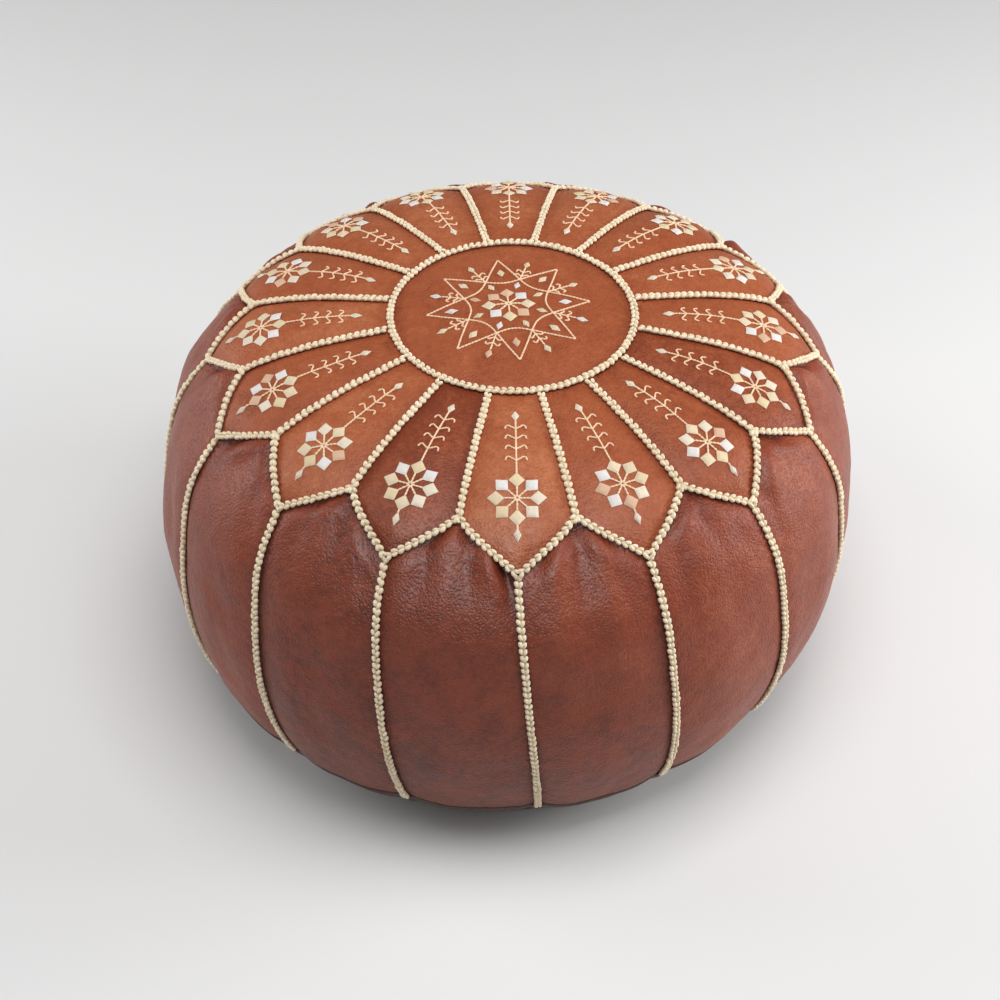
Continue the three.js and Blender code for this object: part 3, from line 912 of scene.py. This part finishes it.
for side, word in ((-1, "front"), (1, "back")):
    name = f"base_{word}_leather"
    half = finish_piece(name, make_base_half(side), base_leather, f"base_half_{word}")
    set_tone(half, 0.0)
    thicken(half, BASE_LEATHER - 0.0002, levels=0)

# ---- Base welt ----------------------------------------------------------------------------------
# A cord in a folded strip of the base leather, sewn into the round seam. The strip's free edge is
# turned up over the foot of the side panels and stitched down, so it shows as a thin dark edge. This
# edge is partly the base leather's own dark colour and partly painted shade at the pouf's foot.

WELT_RING = 0.20635
WELT_HEIGHT = 0.0040
WELT_RADIUS = 0.0028
STRIP_PROUD = 0.0007
STRIP_WIDTH = 0.045
STRIP_EDGE = 0.003  # how wide the strip's thinned upper edge is
CORD_SHARE = 0.4  # of the section, the part that goes round the cord before the strip begins
panel_tops = [LeatherTop(f"side_panel_{number + 1:02d}_leather") for number in range(PANELS)]


def make_welt():
    """One section from under the cord, round it, and up over the panels, carried all round."""
    cord_end = math.radians(75)
    cord_start = math.radians(-120)

    def place(u, v):
        turn = u * PANELS
        spot = turn * STEP
        if v < CORD_SHARE:
            angle = cord_start + (cord_end - cord_start) * v / CORD_SHARE
            radius = WELT_RING + WELT_RADIUS * math.cos(angle)
            height = WELT_HEIGHT + WELT_RADIUS * math.sin(angle)
            point = settle(Vector((radius * math.sin(spot), -radius * math.cos(spot), height)))
            return point, 0.0, 0.0
        part = (v - CORD_SHARE) / (1 - CORD_SHARE)
        wave = 0.004 * noise.noise(Vector((math.cos(spot), math.sin(spot), 0)) * 3)
        share = 1 - (1 - AT_FOOT_STRIP + wave) * part
        panel = panel_tops[int(turn) % PANELS]
        edge = math.exp(-(1 - part) * STRIP_WIDTH / STRIP_EDGE)
        point = panel.above(on_cover(share, turn), outward(share, turn), STRIP_PROUD - 0.0004 * edge)
        # The strip's thinned upper edge is darkened: painted shade.
        return point, edge * 0.5, 0.0

    welt = leather_sheet(256, 26, place)
    bmesh.ops.remove_doubles(welt, verts=welt.verts, dist=1e-5)
    return welt


welt = finish_piece("base_welt_leather", make_welt(), base_leather, "base_welt")
set_tone(welt, 0.0)
thicken(welt, 0.0009, levels=0)

# ---- Liner bag and wadding ----------------------------------------------------------------------
# A bag of unbleached calico holds cotton and foam scraps. The scraps are pushed in through a mouth
# that faces the zip, so the stuffing is lumpy, and the bag is puckered where it is gathered in.

LINER_INSET = 0.0115
LINER_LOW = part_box("liner_bag")[0][2] + 0.0012
LINER_FOLD = 0.70  # share of the way down from the top at which the bag turns under
LINER_RIM = 0.93  # share of the cover's outline that the bag's sides follow
LINER_CORNER = 3.2  # how sharply the bag turns under
LINER_MOUTH = 0.072
LINER_PUCKER = 0.82  # where the gathers round the mouth begin
WADDING_INSET = 0.0045  # inside the bag


def bag_point(turn, part, inset, low, mouth):
    """From the top of the bag (0) over its sides and in across its floor to the mouth (1)."""
    if part < LINER_FOLD:
        return on_cover(LINER_RIM * part / LINER_FOLD, turn, -inset)
    rim = on_cover(LINER_RIM, turn, -inset)
    middle = Vector((BASE_X, 0, low))
    across = (part - LINER_FOLD) / (1 - LINER_FOLD)
    reach = (rim - middle).to_2d().length
    flat = middle + (rim - middle) * (1 - across * (1 - mouth / reach))
    flat.z = low + (rim.z - low) * max(1 - across * LINER_CORNER, 0.0) ** 2
    return flat


def make_liner():
    def place(u, v):
        turn = u * PANELS
        point = bag_point(turn, v, LINER_INSET, LINER_LOW, LINER_MOUTH)
        puckered = max(v - LINER_PUCKER, 0.0) / (1 - LINER_PUCKER)
        pucker = math.sin(turn * 2 * math.pi * 1.5) * puckered
        slack = noise.noise(point / 0.06 + Vector((3, 1, 8)))
        drawn = 1 - 0.012 * (1 + slack) * min(v * 6, 1.0) * (1 if v < LINER_FOLD else 0)
        middle = Vector((BASE_X, 0, point.z))
        moved = middle + (point - middle) * drawn
        moved.z += 0.0012 * (1 + pucker) * (1 if v > LINER_FOLD else 0)
        return moved, 0.0, 0.0

    bag = leather_sheet(96, 80, place)
    bmesh.ops.remove_doubles(bag, verts=bag.verts, dist=1e-5)
    return bag


def make_wadding():
    """Stuffing that fills the bag: lumps of scrap of several sizes."""
    ball = bmesh.new()
    bmesh.ops.create_uvsphere(ball, u_segments=128, v_segments=96, radius=1.0)
    low = LINER_LOW + WADDING_INSET
    for vert in ball.verts:
        part = math.acos(min(max(vert.co.z, -1.0), 1.0)) / math.pi
        turn = math.atan2(vert.co.x, -vert.co.y) / STEP
        point = bag_point(turn, part, LINER_INSET + 2 * WADDING_INSET, low, 0.0)
        middle = Vector((BASE_X, 0, (low + GIRTH_HEIGHT) / 2))
        lump = noise.noise(point / 0.034) + 0.5 * noise.noise(point / 0.013)
        point += (point - middle).normalized() * 0.0028 * (lump - 0.6)
        vert.co = point
    face_outwards(ball)
    return ball


def cotton_waste():
    """Matted fibres in greys and off-whites."""
    finish = Finish("cotton_waste", {"Specular IOR Level": 0.1, "Sheen Weight": 0.3})
    scraps = finish.cells(46).between(0.05, 0.7)
    fibres = finish.cloud(420, 5, 0.75, distortion=1.4)
    colour = finish.mix(scraps, (0.42, 0.38, 0.33, 1), (0.72, 0.69, 0.62, 1))
    colour = finish.mix(fibres.between(0.35, 0.7) * 0.5, colour, (0.80, 0.78, 0.73, 1))
    relief = finish.bump(fibres + scraps * 0.6, 0.003, 0.8)
    return finish.feed({"Base Color": colour, "Roughness": fibres * 0.1 + 0.88, "Normal": relief})


def woven(name, colour, dark, pitch):
    """Threads over and under, from two crossed waves."""
    finish = Finish(name, {"Specular IOR Level": 0.2, "Sheen Weight": 0.2})
    sockets = {"Vector": finish.here(), "Scale": 0.314 / pitch}
    bands = [
        finish.node("ShaderNodeTexWave", {"bands_direction": way}, sockets, out=1) for way in "XY"
    ]
    weave = bands[0] * bands[1]
    # Painted shade: the colour darkens where the threads dip between each other.
    colour = finish.mix(weave.between(0.1, 0.8), dark, colour)
    colour = finish.mix(finish.cloud(24, 4).between(0.45, 0.75) * 0.25, colour, dark)
    relief = finish.bump(weave, pitch * 0.4, 0.7)
    return finish.feed({"Base Color": colour, "Roughness": weave * 0.1 + 0.8, "Normal": relief})


calico = woven("calico", (0.76, 0.68, 0.53, 1), (0.5, 0.43, 0.31, 1), 0.0011)
liner = finish_piece("liner_calico", make_liner(), calico, "liner_bag")
thicken(liner, 0.0010, levels=0)
stuffing = finish_piece("wadding_scraps", make_wadding(), cotton_waste(), "wadding")

# ---- Zip ----------------------------------------------------------------------------------------
# A brass zip on brown cotton tape, sewn under the edges of the two base halves. Two leather patches
# close its ends.


def brushed_brass():
    finish = Finish("zip_brass", {"Metallic": 1.0})
    tarnish = finish.cloud(160, 4).between(0.4, 0.75)
    scratches = finish.cloud(900, 2, vector=finish.stretched((1.0, 0.12, 1.0)))
    colour = finish.mix(tarnish * 0.55, (0.62, 0.43, 0.19, 1), (0.30, 0.19, 0.08, 1))
    relief = finish.bump(scratches, 0.0001, 0.35)
    return finish.feed({"Base Color": colour, "Roughness": tarnish * 0.2 + 0.28, "Normal": relief})


def give_finish(finish, *nodes):
    for node in nodes:
        solid = bpy.data.objects[node]
        solid.data.materials.clear()
        solid.data.materials.append(finish)


brass = brushed_brass()
tape_cloth = woven("zip_tape_cloth", (0.06, 0.032, 0.022, 1), (0.02, 0.011, 0.008, 1), 0.0007)
give_finish(brass, "zip_teeth_front", "zip_teeth_back", "zip_bottom_stop", "zip_top_stop_front")
give_finish(brass, "zip_top_stop_back", "zip_slider", "zip_pull")
give_finish(tape_cloth, "zip_tape_front", "zip_tape_back")
give_finish(base_leather, "zip_patch_left", "zip_patch_right")

# ---- Floor and light ----------------------------------------------------------------------------
# A white studio sweep. A large soft light hangs overhead, with softer ones low on the right and the
# left, and a card in front gives only the sheen on the leather.

floor_mesh = bmesh.new()
bmesh.ops.create_grid(floor_mesh, x_segments=1, y_segments=1, size=6.0)
floor = bpy.data.meshes.new("floor")
floor_mesh.to_mesh(floor)
floor_mesh.free()
paint = {"Base Color": (0.82, 0.82, 0.82, 1), "Roughness": 0.9, "Specular IOR Level": 0.1}
floor_finish = Finish("floor_paint", paint)
floor.materials.append(floor_finish.material)
floor_piece = bpy.data.objects.new("floor", floor)
bpy.context.collection.objects.link(floor_piece)

world = bpy.data.worlds.new("studio")
world.use_nodes = True
world.node_tree.nodes["Background"].inputs["Color"].default_value = (1.0, 0.99, 0.98, 1)
world.node_tree.nodes["Background"].inputs["Strength"].default_value = 0.2
bpy.context.scene.world = world


def soft_light(name, place, target, size, power):
    data = bpy.data.lights.new(name, "AREA")
    data.shape = "RECTANGLE"
    data.size, data.size_y = size
    data.energy = power
    light = bpy.data.objects.new(name, data)
    light.location = place
    light.rotation_euler = (Vector(target) - Vector(place)).to_track_quat("-Z", "Y").to_euler()
    bpy.context.collection.objects.link(light)
    return light


soft_light("overhead", (0.2, -0.4, 2.05), (0, 0, 0.2), (1.3, 1.1), 25)
soft_light("low_right", (1.9, 0.05, 0.8), (0, 0, 0.15), (1.0, 1.0), 26)
soft_light("low_left", (-1.8, 0.5, 0.75), (0, 0, 0.15), (1.0, 0.9), 15)
card = soft_light("front_card", (-0.25, -1.4, 1.6), (0, -0.25, 0.24), (0.8, 0.45), 36)
card.visible_diffuse = False
bpy.context.scene.view_settings.view_transform = "Standard"
